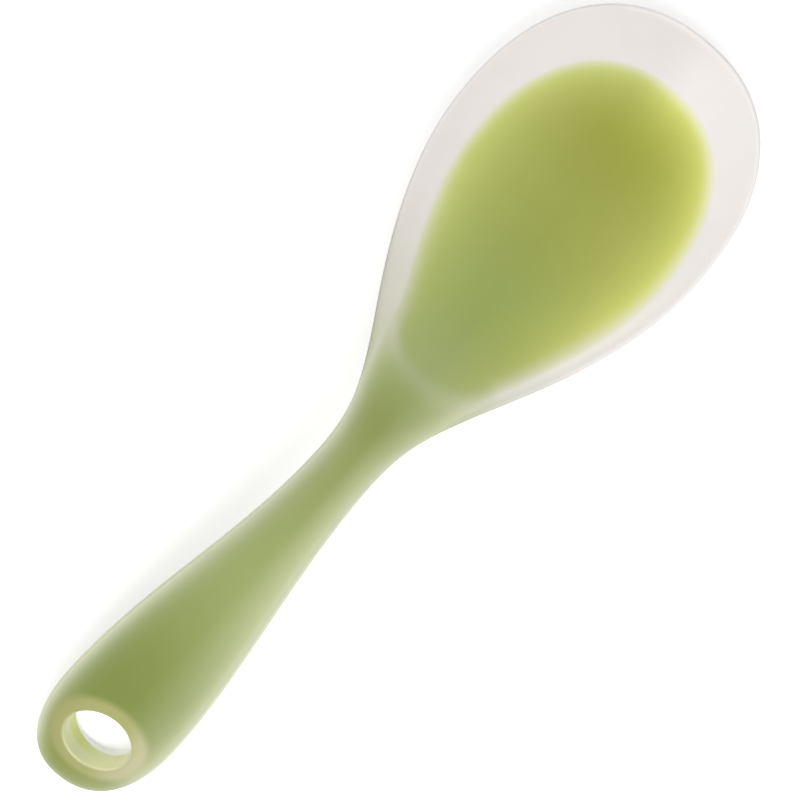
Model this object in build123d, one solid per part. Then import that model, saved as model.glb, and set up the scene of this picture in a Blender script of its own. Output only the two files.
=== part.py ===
from build123d import *

import os

import numpy as np

# A rice paddle moulded in two shots: a stiff nylon core, and a clear silicone skin all round it.
# It lies on its back along X with the handle's end at -X, the bowl's hollow up and its tip at +X.
# Stations are distances along X from the handle's end until the two pieces are placed at the end.

# Lengths along the paddle, in millimetres
end_length = 27.7  # from the handle's end to the handle's widest place
handle_length = 113.0  # from the handle's end to the neck
flare_length = 85.0  # from the neck to the bowl's widest place
tip_length = 42.3  # from the bowl's widest place to its tip

# Widths of the skin
handle_width = 31.5
neck_width = 14.5
bowl_width = 67.6

# Thicknesses of the skin with the core in it
handle_thickness = 11.5
neck_thickness = 9.8
bowl_thickness = 4.4
rim_thickness = 2.0
rim_radius = 0.75  # rounding along both edges of the rim

# The dish and the arch of the paddle's side view
bowl_depth = 8.0
dish_start = 10.0  # from the neck to where the dish begins
dish_length = 42.0  # over which the dish reaches its full depth
# Heights above the table of the middle of the paddle's thickness, along its rim
handle_end_height = 1.2
neck_height = 24.4
rim_height = 10.9  # at the bowl's widest place
tip_drop = 1.0  # how far the rim's tip lies below its widest place

# The silicone that covers the core
handle_cover = 1.3
handle_side_cover = 1.5
bowl_cover = 1.1

# The core's thin blade in the bowl
blade_width = 52.4
blade_side_station = 79.0  # from the neck to the blade's widest place
blade_tip_margin = 14.7  # clear rim from the blade's tip to the bowl's tip
blade_edge_thickness = 1.0
core_edge_thickness = 1.8
core_edge_radius = 0.35
core_taper_length = 35.0  # from the neck, over which the core thins to the blade

# The hang hole and the eye in the core that it passes through
hang_hole_station = 20.0
hang_hole_radius = 8.5
eye_wall = 2.15  # nylon left on each side of the eye, measured at the handle's widest place
mouth_radius = 0.8  # rounding of the hole's two mouths

# Shares that draw the flanks between two named widths: how far along, and how much of the change
handle_taper_shares = [(0.42, 0.65)]
bowl_flare_shares = [(0.2, 0.054), (0.48, 0.488)]
blade_flare_shares = [(0.14, 0.012), (0.3, 0.165), (0.45, 0.335), (0.63, 0.633)]
# Height halfway along the handle, as a share of the rise from its end to its neck
handle_arch_share = 0.57
# Slopes of the side view at its two ends: rise per length
handle_end_slope = 0.45
tip_slope = 0.08

# Powers of the rounded plan ends, of the sections' crowns and of the dish's hollow
end_power = 2.25
handle_crown_power = 3.2
bowl_crown_power = 2.2
dish_power = 2.2

# The largest rounding of an edge, as a share of the edge's thickness
largest_round_share = 0.4

# Steps of the grids that the surfaces are drawn through
end_steps = 8
flank_steps = 26
rows_along = 96
rows_across = 33
surface_margin = 3.0  # how far the surfaces run past the outline
surface_tolerance = 0.005
overrun = 60.0  # how far the trimming solids reach past the paddle

neck_station = handle_length
bowl_station = neck_station + flare_length
overall_length = bowl_station + tip_length
blade_station = neck_station + blade_side_station
# Silicone between the hole and the core's eye: the room that the handle leaves for it
hang_hole_lining = handle_width / 2 - handle_side_cover - eye_wall - hang_hole_radius


def smooth_curve(places, values, first_slope=0.0, last_slope=0.0):
    """The cubic spline through the values at those places, with the given slopes at its two ends."""
    places, values = np.array(places), np.array(values)
    gaps, count = np.diff(places), len(places)
    slopes = np.diff(values) / gaps
    system, right = np.zeros((count, count)), np.zeros(count)
    system[0, :2], right[0] = (2 * gaps[0], gaps[0]), 6 * (slopes[0] - first_slope)
    system[-1, -2:], right[-1] = (gaps[-1], 2 * gaps[-1]), 6 * (last_slope - slopes[-1])
    for i in range(1, count - 1):
        system[i, i - 1 : i + 2] = gaps[i - 1], 2 * (gaps[i - 1] + gaps[i]), gaps[i]
        right[i] = 6 * (slopes[i] - slopes[i - 1])
    bends = np.linalg.solve(system, right)

    def value(x):
        i = int(np.clip(np.searchsorted(places, x) - 1, 0, count - 2))
        before, after, gap = x - places[i], places[i + 1] - x, gaps[i]
        curve = (bends[i] * after**3 + bends[i + 1] * before**3) / (6 * gap)
        straight = (values[i] * after + values[i + 1] * before) / gap
        return curve + straight - gap / 6 * (bends[i] * after + bends[i + 1] * before)

    return value


def ease(x, start, length):
    """Go from 0 at start to 1 a length further on, with no kink at either end."""
    t = np.clip((x - start) / length, 0, 1)
    return t**3 * (10 - 15 * t + 6 * t**2)


def blend(first, last, amount):
    """The value that lies that share of the way from first to last."""
    return first + (last - first) * amount


class Outline:
    """A plan outline about the X axis: two rounded ends, and flanks through given half widths."""

    def __init__(self, start, end, stations, half_widths):
        self.start, self.end = start, end
        self.first, self.last = stations[0], stations[-1]
        self.first_half, self.last_half = half_widths[0], half_widths[-1]
        self.flank = smooth_curve(stations, half_widths)

    def reach(self, x):
        """Half width of the flanks, held past the two widest places."""
        return self.flank(float(np.clip(x, self.first, self.last)))

    def share(self, x, y):
        """How far out a point lies: 0 on the spine and 1 on the outline."""
        if x < self.first:
            along = (self.first - x) / (self.first - self.start)
        else:
            along = max(x - self.last, 0) / (self.end - self.last)
        across = abs(y) / self.reach(x)
        return (along**end_power + across**end_power) ** (1 / end_power)

    def side(self):
        """Points of the outline's +Y side, from the handle's end to the tip."""
        turns = np.linspace(0, np.pi / 2, end_steps + 1)[:-1]
        rise = [(np.cos(a) ** (2 / end_power), np.sin(a) ** (2 / end_power)) for a in turns]
        back, front = self.first - self.start, self.end - self.last
        points = [(self.first - back * c, self.first_half * s) for c, s in rise]
        points += [(x, self.flank(x)) for x in np.linspace(self.first, self.last, flank_steps)]
        return points + [(self.last + front * c, self.last_half * s) for c, s in reversed(rise)]

    def face(self):
        """The outline's flat face at z = 0."""
        side = self.side()
        other_side = [(x, -y) for x, y in reversed(side[1:-1])]
        return Face(Wire([Edge.make_spline([Vector(*p) for p in side + other_side], periodic=True)]))


def between(first, last, shares):
    """The values at the given shares of the way from first to last."""
    return [blend(first, last, share) for share in shares]


def flanks(wide, neck, bowl_half, bowl_place, flare_shares):
    """Stations and half widths from the handle's swell to the neck and on to the bowl."""
    stations = [
        end_length,
        *between(end_length, neck_station, [s for s, _ in handle_taper_shares]),
        neck_station,
        *between(neck_station, bowl_place, [s for s, _ in flare_shares]),
        bowl_place,
    ]
    half_widths = [
        wide,
        *between(neck, wide, [s for _, s in handle_taper_shares]),
        neck,
        *between(neck, bowl_half, [s for _, s in flare_shares]),
        bowl_half,
    ]
    return stations, half_widths


skin_outline = Outline(
    0,
    overall_length,
    *flanks(handle_width / 2, neck_width / 2, bowl_width / 2, bowl_station, bowl_flare_shares),
)
core_outline = Outline(
    handle_side_cover,
    overall_length - blade_tip_margin,
    *flanks(
        handle_width / 2 - handle_side_cover,
        neck_width / 2 - handle_side_cover,
        blade_width / 2,
        blade_station,
        blade_flare_shares,
    ),
)
side_view = smooth_curve(
    [0, neck_station / 2, neck_station, bowl_station, overall_length],
    [
        handle_end_height,
        blend(handle_end_height, neck_height, handle_arch_share),
        neck_height,
        rim_height,
        rim_height - tip_drop,
    ],
    handle_end_slope,
    tip_slope,
)


def middle(x, y):
    """Height of the surface halfway through the paddle's thickness."""
    depth = bowl_depth * ease(x, neck_station + dish_start, dish_length)
    return side_view(x) - depth * (1 - skin_outline.share(x, y) ** dish_power)


def handle_half(x):
    """Half thickness of the handle on its spine."""
    return blend(handle_thickness, neck_thickness, ease(x, end_length, neck_station - end_length)) / 2


def crown(share, edge_half, middle_half, thinning):
    """Half thickness of a section that swells from its edge to its middle."""
    power = blend(handle_crown_power, bowl_crown_power, thinning)
    return edge_half + (middle_half - edge_half) * (1 - share**power)


def skin_half(x, y):
    """Half thickness of the skin with the core in it."""
    thinning = ease(x, neck_station, dish_start + dish_length)
    middle_half = blend(handle_half(x), bowl_thickness / 2, thinning)
    return crown(skin_outline.share(x, y), rim_thickness / 2, middle_half, thinning)


def core_half(x, y):
    """Half thickness of the core."""
    thinning = ease(x, neck_station, core_taper_length)
    edge_half = blend(core_edge_thickness, blade_edge_thickness, thinning) / 2
    middle_half = blend(handle_half(x) - handle_cover, bowl_thickness / 2 - bowl_cover, thinning)
    return crown(core_outline.share(x, y), edge_half, middle_half, thinning)


def surface(outline, height):
    """A smooth face at the given height function, a margin larger than the outline."""
    rows = []
    for x in np.linspace(outline.start - surface_margin, outline.end + surface_margin, rows_along):
        reach = outline.reach(x) + surface_margin
        rows.append([Vector(x, y, height(x, y)) for y in np.linspace(-reach, reach, rows_across)])
    return Face.make_surface_from_array_of_points(rows, tol=surface_tolerance, min_deg=3, max_deg=5)


def pillow(outline, half, edge_radius, edge_thickness):
    """The solid inside an outline, between a top and a bottom surface, with its rim rounded."""
    top = surface(outline, lambda x, y: middle(x, y) + half(x, y))
    bottom = surface(outline, lambda x, y: middle(x, y) - half(x, y))
    prism = extrude(Pos(0, 0, -overrun) * outline.face(), amount=2 * overrun, dir=(0, 0, 1))
    body = prism - Solid.extrude(top, Vector(0, 0, 2 * overrun))
    body = body - Solid.extrude(bottom, Vector(0, 0, -2 * overrun))
    rims = body.edges().sort_by(SortBy.LENGTH)[-2:]
    return fillet(rims, min(edge_radius, largest_round_share * edge_thickness))


def hang_hole_plane():
    """The plane across the hang hole, square to the handle's middle surface there."""
    rise = middle(hang_hole_station + mouth_radius, 0) - middle(hang_hole_station - mouth_radius, 0)
    centre = (hang_hole_station, 0, middle(hang_hole_station, 0))
    return Plane(origin=centre, z_dir=(-rise, 0, 2 * mouth_radius))


def hang_hole(radius):
    """A long round bar along the hang hole."""
    return hang_hole_plane() * Cylinder(radius, overrun)


def make_core():
    """The stiff green insert: handle beam, eye for the hang hole, and thin blade in the bowl."""
    body = pillow(core_outline, core_half, core_edge_radius, blade_edge_thickness)
    return body - hang_hole(hang_hole_radius + hang_hole_lining)


def make_skin(core):
    """The clear silicone round the core, which also lines the hang hole and forms the rim."""
    body = pillow(skin_outline, skin_half, rim_radius, rim_thickness) - hang_hole(hang_hole_radius)
    around = body.edges().filter_by(lambda edge: edge.center().X < end_length)
    mouths = [edge for edge in around if edge.is_closed and edge.length < handle_width * np.pi]
    return fillet(mouths, mouth_radius) - core


def lowest_height():
    """Height of the skin's lowest place, which touches the table."""
    heights = []
    for x in np.linspace(0, overall_length, rows_along):
        reach = skin_outline.reach(x)
        for y in np.linspace(-reach, reach, rows_across):
            if skin_outline.share(x, y) <= 1:
                heights.append(middle(x, y) - skin_half(x, y))
    return min(heights)


core = make_core()
skin = make_skin(core)
place = Pos(-overall_length / 2, 0, -lowest_height())

os.makedirs("parts", exist_ok=True)
for name, piece in (("nylon_core", core), ("silicone_skin", skin)):
    solids = (place * piece).solids()
    print(name, len(solids), "solid", [round(s.volume) for s in solids], "mm3")
    export_step(solids[0], f"parts/{name}.step")
hole = place * hang_hole_plane().location
print("hang hole centre", hole.position, "axis", Plane(hole).z_dir)
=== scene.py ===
import math

import bmesh
import bpy
import numpy as np
from mathutils import Matrix, Vector
from mathutils.geometry import delaunay_2d_cdt
from mathutils.kdtree import KDTree


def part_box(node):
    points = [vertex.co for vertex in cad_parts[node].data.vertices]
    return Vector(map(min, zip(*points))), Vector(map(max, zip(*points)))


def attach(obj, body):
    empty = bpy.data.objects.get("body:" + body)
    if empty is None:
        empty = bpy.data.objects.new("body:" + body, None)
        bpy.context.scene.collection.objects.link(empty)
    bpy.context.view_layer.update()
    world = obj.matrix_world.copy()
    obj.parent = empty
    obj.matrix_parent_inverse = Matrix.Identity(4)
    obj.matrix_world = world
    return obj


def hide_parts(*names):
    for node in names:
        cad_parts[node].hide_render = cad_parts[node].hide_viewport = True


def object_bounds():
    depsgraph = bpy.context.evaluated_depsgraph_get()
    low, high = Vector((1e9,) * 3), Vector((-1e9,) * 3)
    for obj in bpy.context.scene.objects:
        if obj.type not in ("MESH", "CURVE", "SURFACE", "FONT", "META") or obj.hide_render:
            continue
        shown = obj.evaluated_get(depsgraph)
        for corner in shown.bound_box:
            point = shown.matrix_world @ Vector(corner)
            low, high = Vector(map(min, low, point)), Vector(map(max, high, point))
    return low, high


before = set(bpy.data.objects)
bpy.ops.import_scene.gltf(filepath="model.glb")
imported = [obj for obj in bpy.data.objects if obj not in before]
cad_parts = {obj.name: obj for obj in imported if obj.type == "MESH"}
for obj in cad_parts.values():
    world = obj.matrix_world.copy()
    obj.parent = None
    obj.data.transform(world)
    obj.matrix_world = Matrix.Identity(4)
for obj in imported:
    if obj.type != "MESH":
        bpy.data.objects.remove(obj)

# The looks of a rice paddle: clear milky silicone moulded round a green nylon core.
# Lengths are in metres. The paddle's own lines are drawn by station, the distance from the
# handle's end, and are set down at the end where the CAD skin lies.

cad_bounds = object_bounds()
skin_low, skin_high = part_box("silicone_skin")

# The skin's plan
overall_length = skin_high.x - skin_low.x
end_length = 0.0277  # from the handle's end to the handle's widest place
neck_station = 0.113
bowl_station = 0.198  # the bowl's widest place
handle_width = 0.0315
neck_width = 0.0145
bowl_width = skin_high.y - skin_low.y
end_power = 2.25
handle_taper_shares = [(0.42, 0.65)]
bowl_flare_shares = [(0.2, 0.054), (0.48, 0.488)]

# The skin's thickness
handle_thickness = 0.0115
neck_thickness = 0.0098
bowl_thickness = 0.0044
rim_thickness = 0.002
rim_radius = 0.00075
handle_crown_power = 3.2
bowl_crown_power = 2.2

# The side view and the dish
handle_end_height = 0.0012
neck_height = 0.0244
rim_height = 0.0109
tip_height = 0.0099
handle_arch_share = 0.57
handle_end_slope = 0.45
tip_slope = 0.08
bowl_depth = 0.008
dish_start = 0.010
dish_length = 0.042
dish_power = 2.2

# The core's plan
handle_side_cover = 0.0015
blade_width = 0.0524
blade_station = 0.192
blade_tip_margin = 0.0147
blade_flare_shares = [(0.14, 0.012), (0.3, 0.165), (0.45, 0.335), (0.63, 0.633)]

# The hang hole
hang_hole_station = 0.020
hang_hole_radius = 0.0085
mouth_radius = 0.0008

# The mesh
millimetres = 1000  # in a metre
grid_step = 0.00075
least_gap_share = 0.6  # of a grid step, between a grid point and the rim or the mouth
outline_samples = 4000
round_steps = 6  # rows of faces round each rounding
wall_steps = 3  # rows of faces on the rim's flat edge
hole_steps = 14  # rows of faces down the hang hole's wall
hole_points = 104  # points round the hang hole
solve_steps = 30  # rounds of moving a point along the hole's axis to a face
same_place = 1e-9  # the triangulation takes points nearer than this as one

# Where the silicone's paint reads the core: through the silicone the core shows a little to one
# side of where it lies, and its flat plate shows as an egg that starts past the neck
shown_shift = 0.00156
shift_start, shift_end = 0.140, 0.158
plate_station = 0.152
plate_reach = 0.0104

# The silicone's colours as seen, from the handle's end to the bowl's tip, some with painted light
# and shade
end_green = (141, 152, 68)
# Partly painted shade: the handle's green and the neck's green are darker where the surface tilts
# away from the light
shaded_handle_green = (132, 146, 73)
grip_green = (153, 165, 99)
shaded_neck_green = (133, 144, 69)
flare_green = (158, 171, 112)
plate_green = (142, 157, 84)
bowl_green = (153, 160, 75)
tip_green = (145, 150, 48)
# Painted light: the glow of light through the core's thin edge in the bowl, yellower on the right
painted_glow_left = (206, 213, 125)
painted_glow_right = (233, 236, 129)
handle_milk = (236, 241, 204)
flare_milk_left = (209, 210, 190)
flare_milk_right = (214, 218, 191)
# Painted light and shade on the milky rim: paler on the right, where the light falls, greyer on
# the left
rim_milk_shaded_left = (231, 225, 222)
rim_milk_lit_right = (242, 237, 234)
# Painted light: the bowl's right flank, paler as if lit through the silicone
painted_light_flank = (254, 250, 238)
ring_left = (176, 178, 116)
ring_right = (203, 201, 161)
# Painted light: the hang hole's wall, painted paler for light that comes through the silicone into
# the shaded hole
hole_wall_lit_left = (232, 236, 192)
hole_wall_lit_low = (222, 228, 150)
hole_wall_lit_right = (246, 248, 212)
# Painted light: the lip at the hole's bottom painted white, and made to glow, for light from below
# through the silicone
lit_lip_white = (255, 255, 250)
lit_white = (236, 238, 236)
# Painted shade: the grey of the line along the handle's edge
edge_shade_grey = (190, 187, 184)
black = (0, 0, 0)

# Where the silicone's looks change. From here to the hang hole's values, distances are in
# millimetres, as the mesh holds them, and shares run from 0 to 1. A pair is where a change starts
# and where it ends, and a pair named place is the middle and the width of a hump. Values named
# left and right are for the paddle's +Y side and its -Y side.
right_span = (6, -6)  # of the side, from all left to all right
green_changes = (  # each colour below takes over from the one before it
    ((10, 34), shaded_handle_green),
    ((34, 80), grip_green),
    ((80, 128), shaded_neck_green),
    ((128, 145), flare_green),
    ((145, 163), plate_green),
    ((163, 190), bowl_green),
    ((190, 215), tip_green),
)

# Painted light: the glow inside the core's edge in the bowl, for light through its thin edge,
# brighter on the right
painted_glow_share = 0.91
painted_glow_reach = 7.4
painted_glow_span = (128, 185)

# How far the milk hides the green. On the right the milk reaches further in: painted light, the
# milky veil of the side that the light falls on
milk_start = 1.24  # outside the core's outline
wide_milk_left, wide_milk_lit_right = 0.27, 0.52  # the share of the milk that reaches far in
wide_reach_left, wide_reach_lit_right = 2.35, 6.0
narrow_reach = 1.55
plate_clear_span = (-1.95, 3.0)  # inset in the plate over which the milk clears
wing_dimming, wing_start, wing_end = 0.25, (130.6, 138.6), (153, 143)  # where the neck widens
neck_dimming, neck_dimming_place = 0.18, (127, 13)  # right of the neck
left_milk_gain, left_milk_span = 0.14, (148, 136)  # left of the handle
end_clearing, end_clear_slope, end_clear_span = 0.6, 0.3, (14, 3)  # at the handle's end

# The milk's colour, with painted light: the rim paler on the right than on the left, and the
# bowl's right flank paler still
flare_span = (122, 146)
rim_start = 138
rim_end_left, rim_end_right = 182, 166
edge_line, edge_line_place = 0.14, (0.6, 0.65)  # the dark line inside the flare's edge
edge_line_start, edge_line_end = (134, 142), (172, 158)
# Painted light: the bowl's right flank painted paler, as if lit through the silicone
painted_light_flank_place, painted_light_flank_inset = (170, 22), (3.0, 1.3)  # the paler right flank of the bowl

# The pale line round the start of the core's plate, and its corner at the left
halo_left, halo_right, halo_place = 0.115, 0.138, (0, 2.5)
halo_start, halo_end = (137.5, 145.5), (190, 170)
corner_share, corner_station_place, corner_inset_place = 0.24, (147.5, 3.5), (0.5, 1.5)

# Painted shade: a grey line along the handle's edge, where the edge darkens, stronger on the right
edge_shade_left, edge_shade_right = 0.15, 0.35
edge_shade_place, edge_shade_end = (0.9, 0.6), (140, 128)

# Light that the clear rim carries
edge_light_left, edge_light_right = 0.18, 0.06
edge_light_inset, edge_light_start = (0.9, 0.2), (160, 200)
tip_light_left, tip_light_right = 0.08, 0.03
tip_light_inset, tip_light_start = (2.0, 0.3), (232, 240)

# The hang hole: spans of the distance from its axis, of the height along it and of the side
ring_span, ring_right_span = (13.9, 11.0), (-2, -12)
wall_span, wall_right_span = (9.3, 8.7), (3, -6)
wall_low_span, wall_top_span = (0.8, -0.8), (5.3, 2.8)
# Painted light: where the lip is painted white and glows
lip_span, lip_height_span, lip_slope = (9.7, 8.9), (-2.6, -3.6), 0.2
lip_light = 0.2
mouth_gloss_place = (9.1, 0.3)

# The silicone's finish. A noise is its blobs to the metre and its detail, a contrast is the values
# of the noise that count as none and as full, and a bump is its depth in metres and its strength.
cloud_noise, cloud_contrast, cloud_share = (160, 3), (0.3, 0.7), 0.016
grain_noise, grain_contrast = (900, 3), (0.2, 0.8)
silicone_bump_noise, silicone_bump = (2600, 4), (0.00002, 0.2)
silicone_roughness = (0.52, 0.58)
wall_gloss = 0.25  # how much less rough the hole's wall is
silicone_ior = 1.41
silicone_specular = 0.25
wall_depth_share = 0.9  # of the wall's light that enters the silicone
light_depth = 0.004
light_depth_colours = (1.0, 1.0, 0.7)
silicone_sheen, silicone_sheen_roughness = 0.05, 0.45
mouth_coat_roughness, mouth_coat_ior = 0.1, 1.6

# The core's finish. Where a noise has a third value, it is how rough the noise itself is.
flow_noise, flow_contrast = (140, 5, 0.6), (0.3, 0.7)
fibre_noise, fibre_contrast = (1200, 4), (0.25, 0.75)
nylon_bump_noise, nylon_bump = (3200, 5, 0.6), (0.00003, 0.3)
nylon_dark, nylon_light = (132, 150, 56), (146, 164, 66)
nylon_roughness = (0.42, 0.6)
nylon_ior = 1.53

# The studio
floor_reach = 6.0
floor_grey = (0.75, 0.75, 0.75, 1.0)
floor_roughness = 0.9
floor_seen_light = 0.55
wall_light, ceiling_light = 0.33, 0.78
lamp_size = 0.9
key_place, key_power = (-0.15, -0.45, 1.05), 7.5
fill_place, fill_power = (0.1, 0.8, 0.9), 2.0

# The photograph's camera
camera_target = (0.01214, -0.00114, 0.010)
camera_elevation, camera_azimuth, camera_roll = 69.59, 18.816, 221.197  # degrees
camera_distance = 0.7823
camera_focal_share = 4.3195  # focal length, as a share of the picture's width
sensor_width = 36.0


def spline(places, values, first_slope=0.0, last_slope=0.0):
    """The cubic spline through the values at those places, with the given slopes at its ends."""
    places, values = np.array(places), np.array(values)
    gaps, count = np.diff(places), len(places)
    slopes = np.diff(values) / gaps
    system, right = np.zeros((count, count)), np.zeros(count)
    system[0, :2], right[0] = (2 * gaps[0], gaps[0]), 6 * (slopes[0] - first_slope)
    system[-1, -2:], right[-1] = (gaps[-1], 2 * gaps[-1]), 6 * (last_slope - slopes[-1])
    for i in range(1, count - 1):
        system[i, i - 1 : i + 2] = gaps[i - 1], 2 * (gaps[i - 1] + gaps[i]), gaps[i]
        right[i] = 6 * (slopes[i] - slopes[i - 1])
    bends = np.linalg.solve(system, right)

    def value(x):
        i = np.clip(np.searchsorted(places, x) - 1, 0, count - 2)
        before, after, gap = x - places[i], places[i + 1] - x, gaps[i]
        curve = (bends[i] * after**3 + bends[i + 1] * before**3) / (6 * gap)
        straight = (values[i] * after + values[i + 1] * before) / gap
        return curve + straight - gap / 6 * (bends[i] * after + bends[i + 1] * before)

    return value


def ease(x, start, length):
    """From 0 at start to 1 a length further on, with no kink at either end."""
    t = np.clip((x - start) / length, 0, 1)
    return t**3 * (10 - 15 * t + 6 * t**2)


def blend(first, last, amount):
    """The value that lies that share of the way from first to last."""
    return first + (last - first) * amount


class Outline:
    """A plan outline about the X axis: two rounded ends, and flanks through given half widths."""

    def __init__(self, start, end, wide, neck, bowl_half, bowl_place, flare_shares):
        self.start, self.end, self.first, self.last = start, end, end_length, bowl_place
        self.first_half, self.last_half = wide, bowl_half
        stations = [end_length]
        stations += [blend(end_length, neck_station, s) for s, _ in handle_taper_shares]
        stations += [neck_station]
        stations += [blend(neck_station, bowl_place, s) for s, _ in flare_shares] + [bowl_place]
        halves = [wide] + [blend(neck, wide, s) for _, s in handle_taper_shares] + [neck]
        halves += [blend(neck, bowl_half, s) for _, s in flare_shares] + [bowl_half]
        self.flank = spline(stations, halves)

    def share(self, x, y):
        """How far out points lie: 0 on the spine and 1 on the outline."""
        back = np.maximum(self.first - x, 0) / (self.first - self.start)
        front = np.maximum(x - self.last, 0) / (self.end - self.last)
        across = np.abs(y) / self.flank(np.clip(x, self.first, self.last))
        return ((back + front) ** end_power + across**end_power) ** (1 / end_power)

    def loop(self, step):
        """Points evenly spaced round the outline, anticlockwise, with their outward directions."""
        turn = np.linspace(0, math.pi / 2, outline_samples)
        c, s = np.cos(turn) ** (2 / end_power), np.sin(turn) ** (2 / end_power)
        flank_x = np.linspace(self.first, self.last, outline_samples)[1:-1]
        back = np.stack([self.first - (self.first - self.start) * c, self.first_half * s], 1)
        flank = np.stack([flank_x, self.flank(flank_x)], 1)
        front = np.stack([self.last + (self.end - self.last) * c, self.last_half * s], 1)[::-1]
        left = np.concatenate([back, flank, front])
        right = left[::-1][1:] * (1, -1)
        ring = np.concatenate([left, right])[::-1]
        lengths = np.concatenate([[0], np.cumsum(np.linalg.norm(np.diff(ring, axis=0), axis=1))])
        places = np.linspace(0, lengths[-1], int(lengths[-1] / step) + 1)[:-1]
        points = np.stack([np.interp(places, lengths, ring[:, k]) for k in (0, 1)], 1)
        along = np.roll(points, -1, 0) - np.roll(points, 1, 0)
        out = np.stack([along[:, 1], -along[:, 0]], 1)
        return points, out / np.linalg.norm(out, axis=1, keepdims=True)


skin_outline = Outline(
    0,
    overall_length,
    handle_width / 2,
    neck_width / 2,
    bowl_width / 2,
    bowl_station,
    bowl_flare_shares,
)
core_outline = Outline(
    handle_side_cover,
    overall_length - blade_tip_margin,
    handle_width / 2 - handle_side_cover,
    neck_width / 2 - handle_side_cover,
    blade_width / 2,
    blade_station,
    blade_flare_shares,
)
side_view = spline(
    [0, neck_station / 2, neck_station, bowl_station, overall_length],
    [
        handle_end_height,
        blend(handle_end_height, neck_height, handle_arch_share),
        neck_height,
        rim_height,
        tip_height,
    ],
    handle_end_slope,
    tip_slope,
)


def middle(x, y):
    """Height of the surface halfway through the paddle's thickness."""
    depth = bowl_depth * ease(x, neck_station + dish_start, dish_length)
    return side_view(x) - depth * (1 - skin_outline.share(x, y) ** dish_power)


def handle_half(x):
    """Half thickness of the handle on its spine."""
    thinned = ease(x, end_length, neck_station - end_length)
    return blend(handle_thickness, neck_thickness, thinned) / 2


def crown(share, edge_half, middle_half, thinning):
    """Half thickness of a section that swells from its edge to its middle."""
    power = blend(handle_crown_power, bowl_crown_power, thinning)
    return edge_half + (middle_half - edge_half) * (1 - np.minimum(share, 1) ** power)


def skin_half(x, y):
    """Half thickness of the skin with the core in it."""
    thinning = ease(x, neck_station, dish_start + dish_length)
    middle_half = blend(handle_half(x), bowl_thickness / 2, thinning)
    return crown(skin_outline.share(x, y), rim_thickness / 2, middle_half, thinning)


def face_height(side):
    """The height function of the top, at side 1, or of the underside, at side -1."""
    return lambda x, y: middle(x, y) + side * skin_half(x, y)


def rim_rows(points, out, side):
    """Rows of points round one rounding of the rim, from the face to the rim's flat edge."""
    height = face_height(side)
    edge = height(*points.T)
    inner = points - rim_radius * out
    slope = side * (edge - height(*inner.T)) / rim_radius
    stretch = np.sqrt(1 + slope**2)
    centre = side * edge - slope * rim_radius - rim_radius * stretch
    first_turn = np.arctan2(np.ones_like(slope), -slope)
    rows = []
    for k in range(round_steps + 1):
        turn = first_turn * (1 - k / round_steps)
        offset = rim_radius * (np.cos(turn) - 1)
        plan = points + offset[:, None] * out
        rise = side * (centre + rim_radius * np.sin(turn)) if k else height(*plan.T)
        rows.append(np.column_stack([plan, rise]))
    return rows


hole_rise = middle(hang_hole_station + mouth_radius, 0)
hole_rise -= middle(hang_hole_station - mouth_radius, 0)
hole_axis = np.array([-hole_rise, 0, 2 * mouth_radius])
hole_axis /= np.linalg.norm(hole_axis)
hole_centre = np.array([hang_hole_station, 0, middle(hang_hole_station, 0)])
hole_across = np.array([hole_axis[2], 0, -hole_axis[0]])
hole_turns = np.arange(hole_points) * 2 * math.pi / hole_points
hole_out = np.outer(np.cos(hole_turns), hole_across) + np.outer(np.sin(hole_turns), (0, 1, 0))


def hole_point(radius, rise):
    """Points round the hang hole's axis, at that radius and height along the axis."""
    ones = np.ones(hole_points)
    return hole_centre + hole_out * (radius * ones)[:, None] + np.outer(rise * ones, hole_axis)


def hole_reach(radius, side):
    """Heights along the hang hole's axis where that radius meets the top or the underside."""
    height, rise = face_height(side), side * handle_thickness / 2 * np.ones(hole_points)
    for _ in range(solve_steps):
        x, y, z = hole_point(radius, rise).T
        rise = rise - (z - height(x, y)) / hole_axis[2]
    return rise


def mouth_rows(side):
    """Rows of points round one mouth of the hang hole, from the face to the hole's wall."""
    edge = side * hole_reach(hang_hole_radius, side)
    slope = (side * hole_reach(hang_hole_radius + mouth_radius, side) - edge) / mouth_radius
    stretch = np.sqrt(1 + slope**2)
    centre = edge + slope * mouth_radius - mouth_radius * stretch
    first_turn = np.arctan2(np.ones_like(slope), -slope)
    rows = []
    for k in range(round_steps + 1):
        turn = blend(first_turn, math.pi, k / round_steps)
        radius = hang_hole_radius + mouth_radius * (1 + np.cos(turn))
        rise = side * (centre + mouth_radius * np.sin(turn)) if k else hole_reach(radius, side)
        rows.append(hole_point(radius, rise))
    return rows


def between_rows(first, last, steps):
    """The rows of points that divide the way between two rows."""
    return [blend(first, last, k / steps) for k in range(1, steps)]


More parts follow.
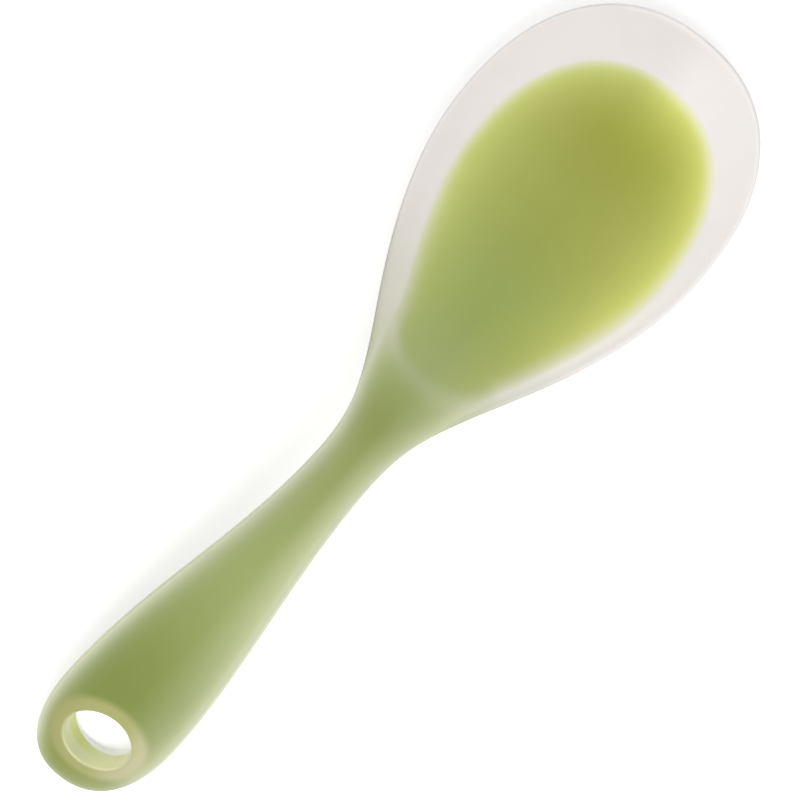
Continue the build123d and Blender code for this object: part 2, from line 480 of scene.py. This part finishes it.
class SkinMesh:
    """Points and faces of one closed mesh, as they are gathered."""

    def __init__(self):
        self.points, self.faces, self.count = [], [], 0

    def add(self, points):
        """Adds points, and gives their numbers."""
        self.points.append(points)
        self.count += len(points)
        return np.arange(self.count - len(points), self.count)

    def strip(self, rows):
        """Quads between rows of point numbers that all go round."""
        for a, b in zip(rows, rows[1:]):
            quads = np.stack([a, np.roll(a, -1), np.roll(b, -1), b], 1)
            self.faces += quads.tolist()

    def sheet(self, rim, mouth, side):
        """Triangles over the top or the underside, between its rim and the hang hole's mouth."""
        rim_points, mouth_points = self.at(rim), self.at(mouth)
        inner = self.inner_points(rim_points, mouth_points)
        numbers = np.concatenate([rim, mouth, self.add(self.lifted(inner, side))])
        plan = [Vector(p) for p in np.concatenate([rim_points, mouth_points])[:, :2]]
        plan += [Vector(p) for p in inner]
        rings = [range(len(rim)), range(len(rim), len(rim) + len(mouth))]
        edges = [(ring[k - 1], ring[k]) for ring in rings for k in range(len(ring))]
        _, _, faces, origins, _, _ = delaunay_2d_cdt(plan, edges, [], 1, same_place)
        of_mouth = set(rings[1])
        for face in faces:
            own = [origins[k][0] for k in face]
            if not of_mouth.issuperset(own):
                self.faces.append([int(numbers[k]) for k in own])

    def at(self, numbers):
        """The points with these numbers."""
        return np.concatenate(self.points)[numbers]

    def inner_points(self, rim_points, mouth_points):
        """A staggered grid of plan points that keeps clear of the rim and of the mouth."""
        low, high = rim_points.min(0), rim_points.max(0)
        row_gap = grid_step * math.sqrt(3) / 2
        rows = np.arange(low[1], high[1], row_gap)
        grid = []
        for k, y in enumerate(rows):
            x = np.arange(low[0] + grid_step / 2 * (k % 2), high[0], grid_step)
            grid.append(np.column_stack([x, np.full_like(x, y)]))
        grid = np.concatenate(grid)
        grid = grid[skin_outline.share(*grid.T) < 1]
        mouth_middle = mouth_points.mean(0)
        spread = np.linalg.norm(mouth_points - mouth_middle, axis=1).min()
        grid = grid[np.linalg.norm(grid - mouth_middle[:2], axis=1) > spread]
        edge_points = np.concatenate([rim_points, mouth_points])
        clear = nearest(grid, edge_points[:, :2]) > least_gap_share * grid_step
        in_rim = inside_of(grid, rim_points[:, :2])
        in_mouth = inside_of(grid, mouth_points[:, :2])
        return grid[clear & in_rim & ~in_mouth]

    def lifted(self, plan, side):
        """Plan points set on the top or on the underside."""
        return np.column_stack([plan, face_height(side)(*plan.T)])


def nearest(points, targets):
    """Each plan point's distance to the nearest target."""
    tree = KDTree(len(targets))
    for k, p in enumerate(targets):
        tree.insert((p[0], p[1], 0), k)
    tree.balance()
    return np.array([tree.find((x, y, 0))[2] for x, y in points])


def inside_of(points, ring):
    """Which plan points lie inside a closed ring, by how often a line from each crosses it."""
    inside = np.zeros(len(points), bool)
    for a, b in zip(ring, np.roll(ring, -1, 0)):
        if a[1] == b[1]:
            continue
        spans = (a[1] > points[:, 1]) != (b[1] > points[:, 1])
        crossing = a[0] + (points[:, 1] - a[1]) * (b[0] - a[0]) / (b[1] - a[1])
        inside ^= spans & (points[:, 0] < crossing)
    return inside


def inset(plan, outline_points, inside):
    """How far plan points lie inside an outline, and below 0 outside it."""
    return nearest(plan, outline_points) * np.where(inside, 1, -1)


def plate_loop():
    """The core's flat plate in plan: half an ellipse, and the core's outline from there on."""
    ring, _ = core_outline.loop(grid_step / 3)
    wide = core_outline.flank(np.array([plate_station]))[0]
    turns = np.linspace(math.pi / 2, 3 * math.pi / 2, hole_points)
    back = np.column_stack([plate_station + plate_reach * np.cos(turns), wide * np.sin(turns)])
    return np.concatenate([ring[ring[:, 0] > plate_station], back])


def in_plate(x, y):
    """Which plan points lie in the core's flat plate."""
    wide = core_outline.flank(np.array([plate_station]))[0]
    before = ((x - plate_station) / plate_reach) ** 2 + (y / wide) ** 2 < 1
    return np.where(x > plate_station, core_outline.share(x, y) < 1, before)


def readings(points):
    """What the silicone's material reads at each point, in metres."""
    x, y, _ = points.T
    t = np.clip((x - shift_start) / (shift_end - shift_start), 0, 1)
    shown_y = y + shown_shift * t * t * (3 - 2 * t)
    shown = np.column_stack([x, shown_y])
    skin_ring, _ = skin_outline.loop(grid_step / 3)
    core_ring, _ = core_outline.loop(grid_step / 3)
    arm = points - hole_centre
    return {
        "station": x,
        "side": y,
        "skin_inset": nearest(points[:, :2], skin_ring),
        "core_inset": inset(shown, core_ring, core_outline.share(x, shown_y) < 1),
        "plate_inset": inset(shown, plate_loop(), in_plate(x, shown_y)),
        "hole_radius": np.linalg.norm(arm - np.outer(arm @ hole_axis, hole_axis), axis=1),
        "hole_height": arm @ hole_axis,
    }


def make_skin():
    """The silicone skin's outside, with what its material reads of its place and of the core."""
    built = SkinMesh()
    points, out = skin_outline.loop(grid_step)
    top, under = rim_rows(points, out, 1), rim_rows(points, out, -1)[::-1]
    rim = top + between_rows(top[-1], under[0], wall_steps) + under
    top, under = mouth_rows(1), mouth_rows(-1)[::-1]
    hole = top + between_rows(top[-1], under[0], hole_steps) + under
    rim, hole = [built.add(row) for row in rim], [built.add(row) for row in hole]
    built.strip(rim)
    built.strip(hole)
    built.sheet(rim[0], hole[0], 1)
    built.sheet(rim[-1], hole[-1], -1)
    places = np.concatenate(built.points)

    mesh = bpy.data.meshes.new("silicone_skin_shape")
    lift = np.array([skin_low.x, (skin_low.y + skin_high.y) / 2, skin_low.z - places[:, 2].min()])
    mesh.from_pydata((places + lift).tolist(), [], built.faces)
    shaped = bmesh.new()
    shaped.from_mesh(mesh)
    bmesh.ops.recalc_face_normals(shaped, faces=shaped.faces)
    shaped.to_mesh(mesh)
    shaped.free()
    mesh.shade_smooth()
    for name, values in readings(places).items():
        attribute = mesh.attributes.new(name, "FLOAT", "POINT")
        attribute.data.foreach_set("value", (values * millimetres).astype(np.float32))
    skin = bpy.data.objects.new("silicone_skin_soft", mesh)
    bpy.context.scene.collection.objects.link(skin)
    return skin


class Nodes:
    """A material's node tree, with short ways to add to it."""

    def __init__(self, name):
        self.material = bpy.data.materials.new(name)
        self.material.use_nodes = True
        self.tree = self.material.node_tree
        self.shader = self.tree.nodes["Principled BSDF"]

    def add(self, kind, **settings):
        """A new node, with its properties set."""
        node = self.tree.nodes.new(kind)
        for name, value in settings.items():
            setattr(node, name, value)
        return node

    def feed(self, socket, value):
        """A link if value is an output, and else the socket's own value."""
        if isinstance(value, bpy.types.NodeSocket):
            self.tree.links.new(value, socket)
        else:
            socket.default_value = value

    def reading(self, name):
        """A number that the mesh holds at each point, in millimetres."""
        return self.add("ShaderNodeAttribute", attribute_name=name).outputs["Fac"]

    def math(self, operation, first, second=0.0):
        """What an operation makes of one or two values."""
        node = self.add("ShaderNodeMath", operation=operation)
        self.feed(node.inputs[0], first)
        self.feed(node.inputs[1], second)
        return node.outputs[0]

    def ramp(self, value, low, high, at_low=0.0, at_high=1.0):
        """A smooth step from at_low to at_high as value goes from low to high."""
        node = self.add("ShaderNodeMapRange", interpolation_type="SMOOTHSTEP")
        for name, given in (
            ("Value", value),
            ("From Min", low),
            ("From Max", high),
            ("To Min", at_low),
            ("To Max", at_high),
        ):
            self.feed(node.inputs[name], given)
        return node.outputs["Result"]

    def mix(self, amount, first, second):
        """A colour that goes from first to second."""
        node = self.add("ShaderNodeMix", data_type="RGBA")
        self.feed(node.inputs["Factor"], amount)
        self.feed(node.inputs[6], first)
        self.feed(node.inputs[7], second)
        return node.outputs[2]

    def between(self, amount, first, last):
        """A number that goes from first to last."""
        return self.math("ADD", self.math("MULTIPLY", amount, last - first), first)

    def fade(self, distance, reach):
        """A share that is 1 at no distance, and falls by a factor e over each reach."""
        reaches = self.math("DIVIDE", self.math("MAXIMUM", distance, 0.0), reach)
        return self.math("EXPONENT", self.math("MULTIPLY", reaches, -1.0))

    def hump(self, value, middle, width):
        """A share that is 1 where value is at the middle, and fades to both sides."""
        off = self.math("DIVIDE", self.math("SUBTRACT", value, middle), width)
        return self.math("EXPONENT", self.math("MULTIPLY", self.math("MULTIPLY", off, off), -1.0))

    def times(self, first, *others):
        """The product of several values."""
        for other in others:
            first = self.math("MULTIPLY", first, other)
        return first

    def less(self, share):
        """What a share leaves of 1."""
        return self.math("SUBTRACT", 1.0, share)

    def noise(self, per_metre, detail, roughness=0.5):
        """A cloud of values from 0 to 1, with that many blobs to the metre."""
        place = self.add("ShaderNodeTexCoord").outputs["Object"]
        node = self.add("ShaderNodeTexNoise")
        self.feed(node.inputs["Vector"], place)
        self.feed(node.inputs["Scale"], per_metre)
        self.feed(node.inputs["Detail"], detail)
        self.feed(node.inputs["Roughness"], roughness)
        return node.outputs["Fac"]

    def bump(self, height, distance, strength):
        """Bump from a height of 0 to 1, into the shader's normal."""
        node = self.add("ShaderNodeBump")
        self.feed(node.inputs["Height"], height)
        self.feed(node.inputs["Distance"], distance)
        self.feed(node.inputs["Strength"], strength)
        self.tree.links.new(node.outputs["Normal"], self.shader.inputs["Normal"])

    def set(self, **values):
        """Values of the shader's sockets, by their names with _ for spaces."""
        for name, value in values.items():
            self.feed(self.shader.inputs[name.replace("_", " ")], value)


def srgb(red, green, blue):
    """A colour of 0 to 255 as it is seen, as the shader wants it."""
    seen = [c / 255 for c in (red, green, blue)]
    return [c / 12.92 if c <= 0.04045 else ((c + 0.055) / 1.055) ** 2.4 for c in seen] + [1]


def green_behind(n, station, core_inset, right):
    """The core's green as the silicone over it shows it, with painted shade in the darker greens
    of the handle and the neck, and a painted glow of light along the bowl's edge.
    """
    green = srgb(*end_green)
    for span, colour in green_changes:
        green = n.mix(n.ramp(station, *span), green, srgb(*colour))
    lit = n.times(painted_glow_share, n.fade(core_inset, painted_glow_reach), n.ramp(station, *painted_glow_span))
    return n.mix(lit, green, n.mix(right, srgb(*painted_glow_left), srgb(*painted_glow_right)))


def milk_shown(n, station, side, core_inset, plate_inset, right):
    """How much the milky silicone hides of the green: most at the edge, less toward the middle."""
    past = n.math("ADD", core_inset, milk_start)
    # Painted light: the milk spreads further on the right, the side that the light falls on
    wide_share = n.between(right, wide_milk_left, wide_milk_lit_right)
    wide_reach = n.between(right, wide_reach_left, wide_reach_lit_right)
    wide_part = n.times(wide_share, n.fade(past, wide_reach))
    edge_part = n.times(n.less(wide_share), n.fade(past, narrow_reach))
    shown = n.math("ADD", wide_part, edge_part)
    shown = n.times(shown, n.less(n.ramp(plate_inset, *plate_clear_span)))
    at_wing = n.times(wing_dimming, n.ramp(station, *wing_start), n.ramp(station, *wing_end))
    shown = n.times(shown, n.less(at_wing))
    at_neck = n.times(neck_dimming, n.hump(station, *neck_dimming_place), right)
    on_left = n.times(-left_milk_gain, n.less(right), n.ramp(station, *left_milk_span))
    shown = n.times(shown, n.less(n.math("ADD", at_neck, on_left)))
    to_end = n.math("ADD", station, n.times(end_clear_slope, side))
    return n.times(shown, n.less(n.times(end_clearing, n.ramp(to_end, *end_clear_span))))


def edge_light(n, station, skin_inset, right):
    """Light that the clear rim carries inside it, and lets out along its edge."""
    edge = n.times(
        n.between(right, edge_light_left, edge_light_right),
        n.ramp(skin_inset, *edge_light_inset),
        n.ramp(station, *edge_light_start),
    )
    tip = n.times(
        n.between(right, tip_light_left, tip_light_right),
        n.ramp(skin_inset, *tip_light_inset),
        n.ramp(station, *tip_light_start),
    )
    return n.math("ADD", edge, tip)


def milk_colour(n, station, skin_inset, right, rim):
    """The milky silicone's colour: greenish on the handle, clear and pale at the rim, with painted
    light that makes the rim paler on the right and the bowl's right flank paler still.
    """
    flare = n.mix(right, srgb(*flare_milk_left), srgb(*flare_milk_right))
    milk = n.mix(n.ramp(station, *flare_span), srgb(*handle_milk), flare)
    rim_end = n.between(right, rim_end_left, rim_end_right)
    milk = n.mix(n.ramp(station, rim_start, rim_end), milk, rim)
    line = n.hump(skin_inset, *edge_line_place)
    at_edge = n.times(edge_line, line, n.ramp(station, *edge_line_start))
    milk = n.mix(n.times(at_edge, n.ramp(station, *edge_line_end)), milk, srgb(*black))
    # Painted light: the bowl's right flank painted paler
    lit_flank = n.times(right, n.hump(station, *painted_light_flank_place), n.hump(skin_inset, *painted_light_flank_inset))
    return n.mix(lit_flank, milk, srgb(*painted_light_flank))


def plate_contour(n, station, plate_inset, right):
    """How strongly the pale line shows that follows the core's flat plate round its start."""
    halo = n.times(n.between(right, halo_left, halo_right), n.hump(plate_inset, *halo_place))
    halo = n.times(halo, n.ramp(station, *halo_start), n.ramp(station, *halo_end))
    corner = n.times(
        corner_share,
        n.hump(station, *corner_station_place),
        n.hump(plate_inset, *corner_inset_place),
        n.less(right),
    )
    return n.math("ADD", halo, corner)


def silicone_material():
    """Milky silicone, with the green core showing as far as the silicone over it lets it, and
    painted light and shade.
    """
    n = Nodes("milky_silicone_over_green")
    station, side = n.reading("station"), n.reading("side")
    skin_inset = n.reading("skin_inset")
    core_inset, plate_inset = n.reading("core_inset"), n.reading("plate_inset")
    radius, height = n.reading("hole_radius"), n.reading("hole_height")
    right = n.ramp(side, *right_span)

    green = green_behind(n, station, core_inset, right)
    # Painted light and shade: the rim paler on the right than on the left
    rim = n.mix(right, srgb(*rim_milk_shaded_left), srgb(*rim_milk_lit_right))
    milk = milk_colour(n, station, skin_inset, right, rim)
    shown = milk_shown(n, station, side, core_inset, plate_inset, right)
    colour = n.mix(shown, green, milk)
    colour = n.mix(plate_contour(n, station, plate_inset, right), colour, rim)

    ring = n.mix(n.ramp(side, *ring_right_span), srgb(*ring_left), srgb(*ring_right))
    colour = n.mix(n.ramp(radius, *ring_span), colour, ring)
    # Painted light: the hang hole's wall painted pale, for light that comes through the silicone
    # into the shaded hole
    wall = n.mix(n.ramp(height, *wall_low_span), srgb(*hole_wall_lit_left), srgb(*hole_wall_lit_low))
    to_right = n.ramp(side, *wall_right_span)
    wall = n.mix(to_right, wall, srgb(*hole_wall_lit_right))
    in_wall = n.ramp(radius, *wall_span)
    colour = n.mix(n.times(in_wall, n.ramp(height, *wall_top_span)), colour, wall)
    # Painted light: the lip painted white for light from below
    lip = n.ramp(n.math("ADD", height, n.times(lip_slope, side)), *lip_height_span)
    lip = n.times(n.ramp(radius, *lip_span), lip)
    colour = n.mix(lip, colour, srgb(*lit_lip_white))

    # Painted shade: a grey line along the handle's edge
    outline = n.times(
        n.between(right, edge_shade_left, edge_shade_right),
        n.hump(skin_inset, *edge_shade_place),
        n.ramp(station, *edge_shade_end),
    )
    colour = n.mix(outline, colour, srgb(*edge_shade_grey))
    cloud = n.ramp(n.noise(*cloud_noise), *cloud_contrast, cloud_share, 0.0)
    colour = n.mix(cloud, colour, srgb(*black))
    roughness = n.ramp(n.noise(*grain_noise), *grain_contrast, *silicone_roughness)
    in_silicone = n.times(in_wall, to_right, wall_depth_share)
    # Painted light: the lip and the rim's edge glow by emission
    light = n.math("ADD", n.times(lip, lip_light), edge_light(n, station, skin_inset, right))
    n.set(
        Base_Color=colour,
        Roughness=n.math("SUBTRACT", roughness, n.times(wall_gloss, in_wall)),
        IOR=silicone_ior,
        Specular_IOR_Level=silicone_specular,
        Subsurface_Weight=n.math("MAXIMUM", in_silicone, lip),
        Subsurface_Scale=light_depth,
        Subsurface_Radius=light_depth_colours,
        Emission_Color=srgb(*lit_white),
        Emission_Strength=light,
        Sheen_Weight=silicone_sheen,
        Sheen_Roughness=silicone_sheen_roughness,
        Coat_Weight=n.hump(radius, *mouth_gloss_place),
        Coat_Roughness=mouth_coat_roughness,
        Coat_IOR=mouth_coat_ior,
    )
    n.bump(n.noise(*silicone_bump_noise), *silicone_bump)
    return n.material


def nylon_material():
    """Glass-filled nylon as it leaves the mould: satin green with fine flow marks."""
    n = Nodes("moulded_green_nylon")
    marks = n.ramp(n.noise(*flow_noise), *flow_contrast)
    n.set(
        Base_Color=n.mix(marks, srgb(*nylon_dark), srgb(*nylon_light)),
        Roughness=n.ramp(n.noise(*fibre_noise), *fibre_contrast, *nylon_roughness),
        IOR=nylon_ior,
    )
    n.bump(n.noise(*nylon_bump_noise), *nylon_bump)
    return n.material


def make_floor():
    """A pale floor that keeps the paddle's shadow."""
    mesh = bpy.data.meshes.new("floor_shape")
    reach = floor_reach
    corners = [(-reach, -reach), (reach, -reach), (reach, reach), (-reach, reach)]
    floor_height = min(cad_bounds[0].z, 0.0)
    mesh.from_pydata([(x, y, floor_height) for x, y in corners], [], [(0, 1, 2, 3)])
    floor = bpy.data.objects.new("floor", mesh)
    bpy.context.scene.collection.objects.link(floor)
    n = Nodes("pale_floor")
    n.set(Base_Color=floor_grey, Roughness=floor_roughness, Specular_IOR_Level=0.0)
    rays = n.add("ShaderNodeLightPath").outputs
    seen = n.math("MAXIMUM", rays["Is Camera Ray"], rays["Is Glossy Ray"])
    seen = n.math("MAXIMUM", seen, rays["Is Transmission Ray"])
    n.set(
        Emission_Color=(1.0, 1.0, 1.0, 1.0),
        Emission_Strength=n.math("MULTIPLY", seen, floor_seen_light),
    )
    mesh.materials.append(n.material)


def make_world():
    """White to the camera, and to the paddle a bright ceiling over dimmer walls."""
    world = bpy.data.worlds.new("studio")
    bpy.context.scene.world = world
    world.use_nodes = True
    tree = world.node_tree
    tree.nodes.clear()
    rays = tree.nodes.new("ShaderNodeLightPath").outputs
    place = tree.nodes.new("ShaderNodeTexCoord").outputs["Generated"]
    parts = tree.nodes.new("ShaderNodeSeparateXYZ")
    tree.links.new(place, parts.inputs[0])
    steps = tree.nodes.new("ShaderNodeMapRange")
    for name, value in (
        ("From Min", 0.0),
        ("From Max", 1.0),
        ("To Min", wall_light),
        ("To Max", ceiling_light),
    ):
        steps.inputs[name].default_value = value
    tree.links.new(parts.outputs["Z"], steps.inputs["Value"])
    walls = tree.nodes.new("ShaderNodeBackground")
    tree.links.new(steps.outputs["Result"], walls.inputs["Strength"])
    white = tree.nodes.new("ShaderNodeBackground")
    white.inputs["Strength"].default_value = 1.0
    mixed = tree.nodes.new("ShaderNodeMixShader")
    tree.links.new(rays["Is Camera Ray"], mixed.inputs["Fac"])
    tree.links.new(walls.outputs[0], mixed.inputs[1])
    tree.links.new(white.outputs[0], mixed.inputs[2])
    tree.links.new(mixed.outputs[0], tree.nodes.new("ShaderNodeOutputWorld").inputs["Surface"])


def add_lamp(name, place, power):
    """A square soft lamp that faces the paddle."""
    data = bpy.data.lights.new(name, "AREA")
    data.size, data.energy = lamp_size, power
    lamp = bpy.data.objects.new(name, data)
    bpy.context.scene.collection.objects.link(lamp)
    lamp.location = place
    lamp.rotation_mode = "QUATERNION"
    lamp.rotation_quaternion = (-Vector(place)).to_track_quat("-Z", "Y")


def make_camera():
    """The photograph's camera: from above the bowl, turned so that the handle's end is nearest."""
    elevation, azimuth = math.radians(camera_elevation), math.radians(camera_azimuth)
    roll = math.radians(camera_roll)
    flat = math.cos(elevation)
    back = Vector((flat * math.cos(azimuth), flat * math.sin(azimuth), math.sin(elevation)))
    up = Vector((-1, 0, 0))
    up = (up - back * up.dot(back)).normalized()
    right = up.cross(back)
    turned_right = right * math.cos(roll) + up * math.sin(roll)
    turned_up = up * math.cos(roll) - right * math.sin(roll)
    data = bpy.data.cameras.new("photo_view")
    data.sensor_width = sensor_width
    data.lens = camera_focal_share * sensor_width
    camera = bpy.data.objects.new("photo_view", data)
    bpy.context.scene.collection.objects.link(camera)
    turn = Matrix((turned_right, turned_up, back)).transposed().to_4x4()
    place = Vector(camera_target) + back * camera_distance
    camera.matrix_world = Matrix.Translation(place) @ turn
    bpy.context.scene.camera = camera


make_camera()
make_world()
make_floor()
add_lamp("key", key_place, key_power)
add_lamp("fill", fill_place, fill_power)

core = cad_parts["nylon_core"]
core.data.materials.clear()
core.data.materials.append(nylon_material())

skin = make_skin()
skin.data.materials.append(silicone_material())
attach(skin, "root")
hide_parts("silicone_skin")

bpy.context.scene.view_settings.view_transform = "Standard"
